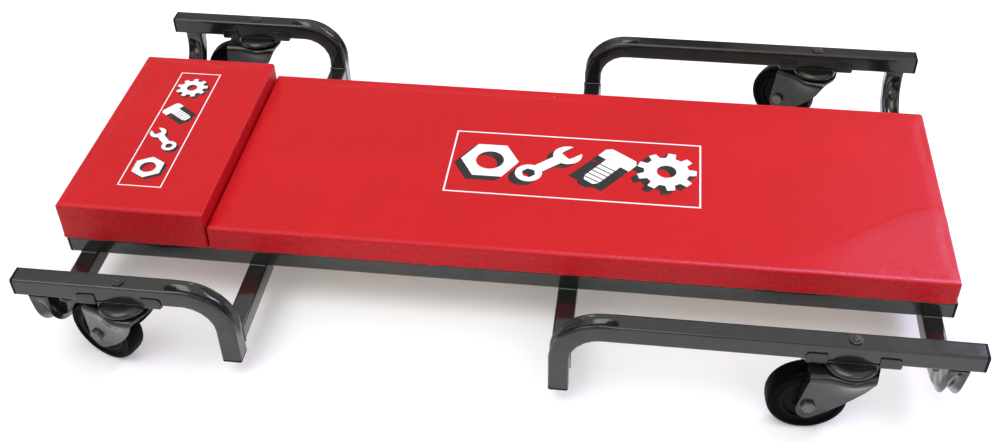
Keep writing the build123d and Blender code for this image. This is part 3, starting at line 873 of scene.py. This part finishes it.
# ---------------------------------------------------------------- weld beads
def bead(name, path, r, seed, closed=False):
    """Rippled weld bead along a polyline of millimetre points."""
    pts = [Vector(p) for p in path]
    if closed:
        pts.append(pts[0])
    out = []
    for p, q in zip(pts, pts[1:]):
        k = max(1, int((q - p).length / 0.45))
        out += [p.lerp(q, i / k) for i in range(k)]
    if not closed:
        out.append(pts[-1])
    m, verts, faces = len(out), [], []
    ns = 10
    run = 0.0
    for i, c in enumerate(out):
        nxt = out[(i + 1) % m] if closed or i < m - 1 else out[i]
        prv = out[i - 1] if closed or i > 0 else out[i]
        t = (nxt - prv).normalized()
        up = Vector((0, 0, 1)) if abs(t.z) < 0.9 else Vector((1, 0, 0))
        u = t.cross(up).normalized()
        v = u.cross(t).normalized()
        run += 0.45
        ripple = 0.80 + 0.20 * abs(math.sin(run * 1.25 + seed)) + 0.16 * nz(run * 0.12, seed, 0.0)
        if not closed:
            ripple *= min(1.0, 0.45 + 0.25 * min(i, m - 1 - i))
        for j in range(ns):
            a = 2 * math.pi * j / ns
            verts.append(c + (u * math.cos(a) + v * math.sin(a)) * r * ripple)
    for i in range(m if closed else m - 1):
        for j in range(ns):
            a, b = i * ns, ((i + 1) % m) * ns
            faces.append((a + j, a + (j + 1) % ns, b + (j + 1) % ns, b + j))
    if not closed:
        faces.append(tuple(range(ns)))
        faces.append(tuple((m - 1) * ns + j for j in range(ns)))
    return verts, faces


def make_welds():
    groups = {"weld_rails": [], "weld_legs": [], "weld_ends": []}
    seed = 0.0
    for x in CROSS_X:
        for sy in (-1, 1):
            for y in (RAIL_OUT, RAIL_IN):
                seed += 1.7
                groups["weld_rails"].append(bead("", [(x - 9.0, sy * y, RAIL_Z0), (x + 9.0, sy * y, RAIL_Z0)], 1.35, seed))
    for x in (LEG_X_HEAD, LEG_X_FOOT):
        for sy in (-1, 1):
            y = sy * (ARM_Y - TUBE / 2)
            k = TUBE / 2 - 0.4
            seed += 1.7
            ring = [(x - k, y, CROSS_ZC - k), (x + k, y, CROSS_ZC - k), (x + k, y, CROSS_ZC + k), (x - k, y, CROSS_ZC + k)]
            groups["weld_legs"].append(bead("", ring, 1.3, seed, True))
    for x in (CROSS_X[0], CROSS_X[3]):
        for sy in (-1, 1):
            k = TUBE / 2 - 0.6
            seed += 1.7
            for sx in (-1, 1):
                groups["weld_ends"].append(
                    bead("", [(x + sx * k, sy * ARM_Y - 8.5, ARM_Z0), (x + sx * k, sy * ARM_Y + 8.5, ARM_Z0)], 1.2, seed)
                )
            groups["weld_ends"].append(
                bead("", [(x - 8.5, sy * (ARM_Y - k), ARM_Z0), (x + 8.5, sy * (ARM_Y - k), ARM_Z0)], 1.2, seed + 0.9)
            )
    for name, parts in groups.items():
        verts, faces = [], []
        for v, f in parts:
            off = len(verts)
            verts += v
            faces += [tuple(i + off for i in face) for face in f]
        o = new_object(name, verts, faces, [WELD])
        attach(o, "frame")


make_welds()


# ---------------------------------------------------------------------- pads
def axis_lines(lo, hi, r, pitch):
    head = [lo, lo + 0.26 * r, lo + 0.5 * r, lo + 0.75 * r, lo + r]
    tail = [hi - r, hi - 0.75 * r, hi - 0.5 * r, hi - 0.26 * r, hi]
    return head + steps(lo + r, hi - r, pitch)[1:-1] + tail


def pad_mesh(name, x0, x1, top, r_top, r_vert, r_bot, fold):
    """Upholstery skin: a rounded box with an open window underneath. Returns the object and per-vertex tags."""
    y0, y1, z0 = -HALF_W + 0.5, HALF_W - 0.5, PAD_Z0 + 0.05
    xs = axis_lines(x0, x1, r_top, 5.0)
    ys = axis_lines(y0, y1, r_top, 5.0)
    zs = [z0, z0 + 0.6, z0 + 1.4, z0 + 2.6] + steps(z0 + 2.6, top - r_top, 2.6)[1:-1] + [
        top - r_top, top - 0.75 * r_top, top - 0.5 * r_top, top - 0.26 * r_top, top]
    nx, ny, nzz = len(xs), len(ys), len(zs)
    index, verts, tags = {}, [], []

    def vert(i, j, k):
        key = (i, j, k)
        if key not in index:
            index[key] = len(verts)
            verts.append(round_point(xs[i], ys[j], zs[k], k == 0, i in (0, nx - 1) or j in (0, ny - 1)))
            tags.append((i in (0, nx - 1) or j in (0, ny - 1), k, k == nzz - 1))
        return index[key]

    def round_point(x, y, z, is_bottom, is_side):
        mid = z0 + 4.0
        if z >= mid:
            c = Vector((min(max(x, x0 + r_top), x1 - r_top), min(max(y, y0 + r_top), y1 - r_top), min(z, top - r_top)))
            d = Vector((x, y, z)) - c
            if d.length > 1e-6:
                d.normalize()
                return c + d * r_top
            return Vector((x, y, z))
        inset = 0.0
        t = z - z0
        if t < r_bot:
            inset = r_bot - math.sqrt(max(0.0, r_bot * r_bot - (r_bot - t) ** 2))
        cx, cy = min(max(x, x0 + r_top), x1 - r_top), min(max(y, y0 + r_top), y1 - r_top)
        dx, dy = x - cx, y - cy
        h = math.hypot(dx, dy)
        if h > 1e-6:
            m = max(abs(dx), abs(dy))
            dx, dy = dx / h * m, dy / h * m
            if is_side:
                dx, dy = dx * (r_top - inset) / r_top, dy * (r_top - inset) / r_top
        return Vector((cx + dx, cy + dy, z))

    faces = []
    for i in range(nx - 1):
        for j in range(ny - 1):
            faces.append((vert(i, j, nzz - 1), vert(i + 1, j, nzz - 1), vert(i + 1, j + 1, nzz - 1), vert(i, j + 1, nzz - 1)))
            xm, ym = (xs[i] + xs[i + 1]) / 2, (ys[j] + ys[j + 1]) / 2
            if not (x0 + fold < xm < x1 - fold and y0 + fold < ym < y1 - fold):
                faces.append((vert(i, j, 0), vert(i, j + 1, 0), vert(i + 1, j + 1, 0), vert(i + 1, j, 0)))
    for k in range(nzz - 1):
        for i in range(nx - 1):
            faces.append((vert(i, 0, k), vert(i + 1, 0, k), vert(i + 1, 0, k + 1), vert(i, 0, k + 1)))
            faces.append((vert(i + 1, ny - 1, k), vert(i, ny - 1, k), vert(i, ny - 1, k + 1), vert(i + 1, ny - 1, k + 1)))
        for j in range(ny - 1):
            faces.append((vert(0, j + 1, k), vert(0, j, k), vert(0, j, k + 1), vert(0, j + 1, k + 1)))
            faces.append((vert(nx - 1, j, k), vert(nx - 1, j + 1, k), vert(nx - 1, j + 1, k + 1), vert(nx - 1, j, k + 1)))
    o = new_object(name, verts, faces, [VINYL], recalc=False)
    return o, tags


def puff(o, tags, cap_top, cap_side):
    """Lets the skin swell a little over its foam by cloth simulation."""
    me = o.data
    start = np.zeros(len(me.vertices) * 3)
    me.vertices.foreach_get("co", start)
    start = start.reshape(-1, 3)
    group = o.vertex_groups.new(name="pin")
    hold = [i for i, (side, k, top) in enumerate(tags) if k <= 1]
    group.add(hold, 1.0, "REPLACE")
    soft = [i for i, (side, k, top) in enumerate(tags) if 2 <= k <= 3]
    group.add(soft, 0.5, "REPLACE")
    mod = o.modifiers.new("swell", "CLOTH")
    s = mod.settings
    s.quality = 6
    s.mass = 0.25
    s.tension_stiffness = s.compression_stiffness = 18.0
    s.shear_stiffness = 8.0
    s.bending_stiffness = 1.2
    s.use_pressure = True
    s.uniform_pressure_force = 4.0
    s.vertex_group_mass = "pin"
    s.effector_weights.gravity = 0.0
    mod.collision_settings.use_collision = False
    mod.collision_settings.use_self_collision = False
    SC.frame_start, SC.frame_end = 1, 20
    mod.point_cache.frame_start, mod.point_cache.frame_end = 1, 20
    for f in range(1, 21):
        SC.frame_set(f)
    dg = bpy.context.evaluated_depsgraph_get()
    ev = o.evaluated_get(dg).to_mesh()
    end = np.zeros(len(ev.vertices) * 3)
    ev.vertices.foreach_get("co", end)
    o.evaluated_get(dg).to_mesh_clear()
    end = end.reshape(-1, 3)
    o.modifiers.clear()
    SC.frame_set(1)
    # only the outward part of the movement is kept, so the foam stays covered
    normal = np.zeros(len(me.vertices) * 3)
    me.vertices.foreach_get("normal", normal)
    normal = normal.reshape(-1, 3)
    out = np.clip(((end - start) * normal).sum(axis=1), 0.0, None)
    cap = np.array([cap_top if t[2] else cap_side for t in tags]) * MM
    keep = cap * np.tanh(out / cap)
    new = start + normal * keep[:, None]
    print("swell", o.name, "max", round(float(out.max()) * 1000, 2), "kept", round(float(keep.max()) * 1000, 2))
    me.vertices.foreach_set("co", new.reshape(-1))
    me.update()


def detail_pad(o, tags, x0, x1, top, seed, crease):
    """Waves, a puckered lower edge and, where asked, a long soft fold, in place."""
    me = o.data
    normals = [v.normal.copy() for v in me.vertices]
    for v, (side, k, is_top) in zip(me.vertices, tags):
        p = v.co / MM
        n = normals[v.index]
        d = 0.0
        if is_top:
            d += 0.30 * nz(p.x * 0.012, p.y * 0.016, 0.0, seed) + 0.10 * nz(p.x * 0.04, p.y * 0.05, 1.0, seed)
            edge = min(p.x - x0, x1 - p.x, p.y + HALF_W, HALF_W - p.y)
            d *= float(smooth(0.0, 22.0, edge))
            if crease:
                # long soft fold that runs from the near side out to the foot end
                t = (p.x - 282.0) / 170.0
                yc = -121.0 + 92.0 * t * t * (3 - 2 * t) if t > 0 else -121.0
                q = p.y - yc
                on = float(smooth(0.0, 0.35, t))
                d += on * (0.75 * float(1 - smooth(-16.0, 2.0, q)) * float(smooth(-60.0, -8.0, q)) - 0.22 * math.exp(-(((q - 3.0) / 6.0) ** 2)))
        elif side and k >= 3:
            h = (p.z - PAD_Z0) / (top - PAD_Z0)
            d += 0.35 * nz(p.x * 0.05, p.y * 0.05, p.z * 0.08, seed + 1) * math.sin(min(1, max(0, h)) * math.pi)
            d += 0.16 * nz(p.x * 0.16, p.y * 0.16, p.z * 0.16, seed + 2) * math.sin(min(1, max(0, h)) * math.pi)
        v.co = (p + n * d) * MM
        if side and k <= 3:
            lift = max(0.0, 0.55 * nz(p.x * 0.11, p.y * 0.11, 0.0, seed + 4) + 0.45 * nz(p.x * 0.33, p.y * 0.33, 3.0, seed + 5))
            lift = (lift * 1.9 - 1.25) * (1.0, 0.8, 0.5, 0.25)[k]
            v.co.z += lift * MM
            tuck = 0.35 * nz(p.x * 0.2, p.y * 0.2, 5.0, seed + 6) * (1.0, 0.8, 0.5, 0.25)[k]
            v.co += Vector((n.x, n.y, 0)) * (tuck + 0.75 * (0.75, 1.0, 0.85, 0.5)[k]) * MM
        if not side and k == 0:
            v.co.z += 0.0
    me.update()


def finish_pad(o, name, cover):
    solid = o.modifiers.new("skin", "SOLIDIFY")
    solid.thickness = 0.9 * MM
    solid.offset = -1.0
    solid.use_even_offset = False
    sub = o.modifiers.new("sub", "SUBSURF")
    sub.levels = sub.render_levels = 1
    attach(o, "frame")
    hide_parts(cover)


PADS = {}


def make_pads():
    for name, x0, x1, top, seed, crease in (
        ("headrest", -458.7, -301.3, HEAD_TOP, 3.0, False),
        ("bed", -299.9, 455.0, BED_TOP, 7.0, True),
    ):
        drop = 1.1
        o, tags = pad_mesh(name + "_upholstery", x0, x1, top - drop, 3.1, 3.1, 1.1, 30.0)
        puff(o, tags, 1.3, 0.5)
        detail_pad(o, tags, x0, x1, top, seed, crease)
        finish_pad(o, name, name + "_cover")
        PADS[name] = o


make_pads()


# ------------------------------------------------------------------- emblems
def ngon(cx, cy, r, n, a0=0.0):
    return [(cx + r * math.cos(math.radians(a0 + 360 * i / n)), cy + r * math.sin(math.radians(a0 + 360 * i / n))) for i in range(n)]


def gear(cx, cy, r_in, r_out, n):
    pts = []
    for i in range(n):
        for f, r in ((-0.30, r_in), (-0.19, r_out), (0.19, r_out), (0.30, r_in)):
            a = 2 * math.pi * (i + f) / n
            pts.append((cx + r * math.cos(a), cy + r * math.sin(a)))
    return pts


def place_icon(poly, cx, cy, size, turn):
    c, q = math.cos(math.radians(turn)), math.sin(math.radians(turn))
    return [(cx + size * (x * c - y * q), cy + size * (x * q + y * c)) for x, y in poly]


def icons():
    """Plain workshop shapes in a unit square, each as (adds, cuts, turn)."""
    nut = ([ngon(0, 0, 0.60, 6, 0)], [ngon(0, 0, 0.29, 40)], 0)
    r, k = 0.30, 0.50
    jaw = [(k - 0.06, -0.125), (k + 0.04, -0.14), (k + 0.5, -0.14), (k + 0.5, 0.14), (k + 0.04, 0.14), (k - 0.06, 0.125)]
    wrench = (
        [ngon(-k, 0, r * 0.92, 40), ngon(k, 0, r, 40), [(-k, -0.125), (k, -0.125), (k, 0.125), (-k, 0.125)]],
        [jaw, ngon(-k, 0, 0.145, 6)], 42)
    sh, cut = 0.185, []
    for i in range(5):
        y = 0.02 - 0.125 * i
        cut.append([(-0.4, y - 0.06), (0.4, y), (0.4, y + 0.03), (-0.4, y - 0.03)])
    head = [(-0.40, 0.20), (0.40, 0.20), (0.40, 0.46), (0.31, 0.56), (-0.31, 0.56), (-0.40, 0.46)]
    shank = [(-sh, -0.50), (-sh + 0.07, -0.60), (sh - 0.07, -0.60), (sh, -0.50), (sh, 0.21), (-sh, 0.21)]
    bolt = ([head, shank], cut, -36)
    cog = ([gear(0, 0, 0.46, 0.61, 9)], [ngon(0, 0, 0.20, 40)], 0)
    return [nut, wrench, bolt, cog]


def emblem(name, pad, cx, cy, w, h, turn, offset):
    """Printed panel: thin frame round a row of plain workshop shapes with a solid shade."""
    line = 1.9 if h > 80 else 1.35
    adds, cuts = [], []
    size = min(h * 0.62, w * 0.195)
    for k, (add, cut, spin) in enumerate(icons()):
        x = w * (k - 1.5) * 0.235 - offset[0] * 0.5
        adds += [place_icon(p, x, -offset[1] * 0.5, size, spin) for p in add]
        cuts += [place_icon(p, x, -offset[1] * 0.5, size, spin) for p in cut]
    sh = [(p[0] + offset[0], p[1] + offset[1]) for p in [(0, 0)]][0]
    outer = [(-w / 2, -h / 2), (w / 2, -h / 2), (w / 2, h / 2), (-w / 2, h / 2)]
    inner = [(-w / 2 + line, -h / 2 + line), (w / 2 - line, -h / 2 + line), (w / 2 - line, h / 2 - line), (-w / 2 + line, h / 2 - line)]

    def shift(poly):
        return [(x + sh[0], y + sh[1]) for x, y in poly]

    solid = lambda p: any(inside(p, a) for a in adds) and not any(inside(p, c) for c in cuts)

    def on_outline(p):
        near = [solid((p[0] + 0.3 * math.cos(t), p[1] + 0.3 * math.sin(t))) for t in (0.3, 1.35, 2.4, 3.45, 4.5, 5.55)]
        return any(near) and not all(near)

    quads = []
    for poly in adds + cuts:
        for p, q in zip(poly, poly[1:] + poly[:1]):
            if not on_outline(((p[0] + q[0]) / 2, (p[1] + q[1]) / 2)):
                continue
            quads.append([p, q, (q[0] + sh[0], q[1] + sh[1]), (p[0] + sh[0], p[1] + sh[1])])
    polys = adds + cuts + [shift(p) for p in adds + cuts] + quads + [outer, inner]
    verts, faces = [], []
    for p in polys:
        faces.append(list(range(len(verts), len(verts) + len(p))))
        verts += [Vector(q) for q in p]
    gx, gy = int(w / 5), int(h / 5)
    for i in range(1, gx):
        for j in range(1, gy):
            verts.append(Vector((-w / 2 + w * i / gx, -h / 2 + h * j / gy)))
    vo, _, fo, _, _, _ = geometry.delaunay_2d_cdt(verts, [], faces, 1, 1e-5, True)
    white_of = lambda p: any(inside(p, a) for a in adds) and not any(inside(p, c) for c in cuts)
    back = lambda p: (p[0] - sh[0], p[1] - sh[1])
    tree = BVHTree.FromObject(pad, bpy.context.evaluated_depsgraph_get())
    ca, sa = math.cos(math.radians(turn)), math.sin(math.radians(turn))
    used, pts, out, mats = {}, [], [], []

    def put(i):
        if i not in used:
            x, y = vo[i]
            gx_, gy_ = cx + x * ca - y * sa, cy + x * sa + y * ca
            hit = tree.ray_cast(Vector((gx_ * MM, gy_ * MM, 0.2)), Vector((0, 0, -1)))
            used[i] = len(pts)
            pts.append((gx_, gy_, hit[0].z / MM + 0.14))
        return used[i]

    for f in fo:
        c = (sum(vo[i][0] for i in f) / len(f), sum(vo[i][1] for i in f) / len(f))
        if white_of(c) or (inside(c, outer) and not inside(c, inner)):
            kind = 0
        elif white_of(back(c)) or any(inside(c, q) for q in quads):
            kind = 1
        else:
            continue
        out.append(tuple(put(i) for i in f))
        mats.append(kind)
    o = new_object(name, pts, out, [INK_WHITE, INK_BLACK], recalc=False)
    up = [p.normal.z for p in o.data.polygons]
    if sum(up) < 0:
        o.data.flip_normals()
    o.data.polygons.foreach_set("material_index", mats)
    thick = o.modifiers.new("film", "SOLIDIFY")
    thick.thickness = 0.12 * MM
    thick.offset = -1.0
    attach(o, "frame")
    return o


emblem("bed_emblem", PADS["bed"], 69.0, -2.0, 272.0, 108.0, 0.0, (-6.5, -7.5))
emblem("headrest_emblem", PADS["headrest"], -381.0, 2.5, 212.0, 48.0, 90.0, (-3.2, -3.6))


# ------------------------------------------------------- floor, light and world
def make_stage():
    n = Nodes("studio_floor")
    mid = n.noise(3.0, 2.0)
    n.set(color=n.mix(n.remap(mid, 0.3, 0.7, 0.0, 1.0), (0.92, 0.92, 0.92), (0.93, 0.93, 0.93)), rough=0.85, spec=0.2)
    n.bsdf.inputs["Emission Color"].default_value = (1, 1, 1, 1)
    n.bsdf.inputs["Emission Strength"].default_value = 0.16
    me = bpy.data.meshes.new("floor")
    bm = bmesh.new()
    bmesh.ops.create_circle(bm, cap_ends=True, segments=96, radius=14.0)
    bm.to_mesh(me)
    bm.free()
    me.materials.append(n.mat)
    floor = bpy.data.objects.new("floor", me)
    floor.location.z = -0.0003
    SC.collection.objects.link(floor)


def make_world():
    w = bpy.data.worlds.new("studio")
    w.use_nodes = True
    SC.world = w
    t = w.node_tree
    bg = t.nodes["Background"]
    tc = t.nodes.new("ShaderNodeTexCoord")
    sep = t.nodes.new("ShaderNodeSeparateXYZ")
    t.links.new(tc.outputs["Generated"], sep.inputs[0])
    ramp = t.nodes.new("ShaderNodeValToRGB")
    t.links.new(sep.outputs["Z"], ramp.inputs["Fac"])
    stops = [(0.0, 0.80), (0.25, 0.66), (0.42, 0.34), (0.53, 0.36), (0.60, 0.62), (0.67, 0.95), (0.80, 1.02), (1.0, 1.02)]
    el = ramp.color_ramp.elements
    while len(el) > 1:
        el.remove(el[-1])
    el[0].position, el[0].color = stops[0][0], (stops[0][1],) * 3 + (1,)
    for p, v in stops[1:]:
        e = el.new(p)
        e.color = (v, v, v * 1.01, 1)

    def op(kind, a, b=0.0):
        n = t.nodes.new("ShaderNodeMath")
        n.operation = kind
        for k, v in enumerate((a, b)):
            if isinstance(v, bpy.types.NodeSocket):
                t.links.new(v, n.inputs[k])
            else:
                n.inputs[k].default_value = v
        return n.outputs[0]

    def ramped(v, a, b, c, d):
        n = t.nodes.new("ShaderNodeMapRange")
        n.interpolation_type = "SMOOTHSTEP"
        for k, x in zip(("Value", "From Min", "From Max", "To Min", "To Max"), (v, a, b, c, d)):
            if isinstance(x, bpy.types.NodeSocket):
                t.links.new(x, n.inputs[k])
            else:
                n.inputs[k].default_value = x
        return n.outputs["Result"]

    # a dark doorway low behind the object, as a workshop wall has
    az = op("DIVIDE", sep.outputs["X"], op("MAXIMUM", sep.outputs["Y"], 0.02))
    door = op("MULTIPLY", ramped(az, -0.03, 0.01, 0.0, 1.0), ramped(az, 0.08, 0.12, 1.0, 0.0))
    door = op("MULTIPLY", door, ramped(sep.outputs["Z"], 0.54, 0.62, 1.0, 0.0))
    door = op("MULTIPLY", door, ramped(sep.outputs["Y"], 0.1, 0.3, 0.0, 1.0))
    dim = t.nodes.new("ShaderNodeMix")
    dim.data_type = "RGBA"
    t.links.new(door, dim.inputs[0])
    t.links.new(ramp.outputs["Color"], dim.inputs[6])
    dim.inputs[7].default_value = (0.06, 0.055, 0.06, 1)
    t.links.new(dim.outputs[2], bg.inputs["Color"])
    bg.inputs["Strength"].default_value = 1.0


def area(name, loc, target, size, power, color=(1, 1, 1)):
    d = bpy.data.lights.new(name, "AREA")
    d.shape = "RECTANGLE"
    d.size, d.size_y = size
    d.energy = power
    d.color = color
    o = bpy.data.objects.new(name, d)
    SC.collection.objects.link(o)
    o.location = loc
    o.rotation_mode = "QUATERNION"
    o.rotation_quaternion = (Vector(target) - Vector(loc)).to_track_quat("-Z", "Y")
    return o


def make_lights():
    sun = bpy.data.lights.new("key", "SUN")
    sun.energy = 1.0
    sun.angle = math.radians(38)
    o = bpy.data.objects.new("key", sun)
    SC.collection.objects.link(o)
    o.rotation_mode = "QUATERNION"
    o.rotation_quaternion = Vector((0.25, 0.30, -1.0)).to_track_quat("-Z", "Y")
    area("sheen", (2.05, 1.62, 1.94), (0.62, -0.18, 0.1), (1.3, 1.1), 58.0, (0.70, 0.62, 1.0))
    area("front_left", (-0.80, -1.25, 1.06), (-0.25, -0.15, 0.06), (0.9, 0.36), 1.6)
    area("front_right", (0.95, -1.25, 1.06), (0.40, -0.15, 0.06), (0.8, 0.36), 1.6)


make_stage()
make_world()
make_lights()
SC.view_settings.view_transform = "Standard"
SC.view_settings.look = "None"
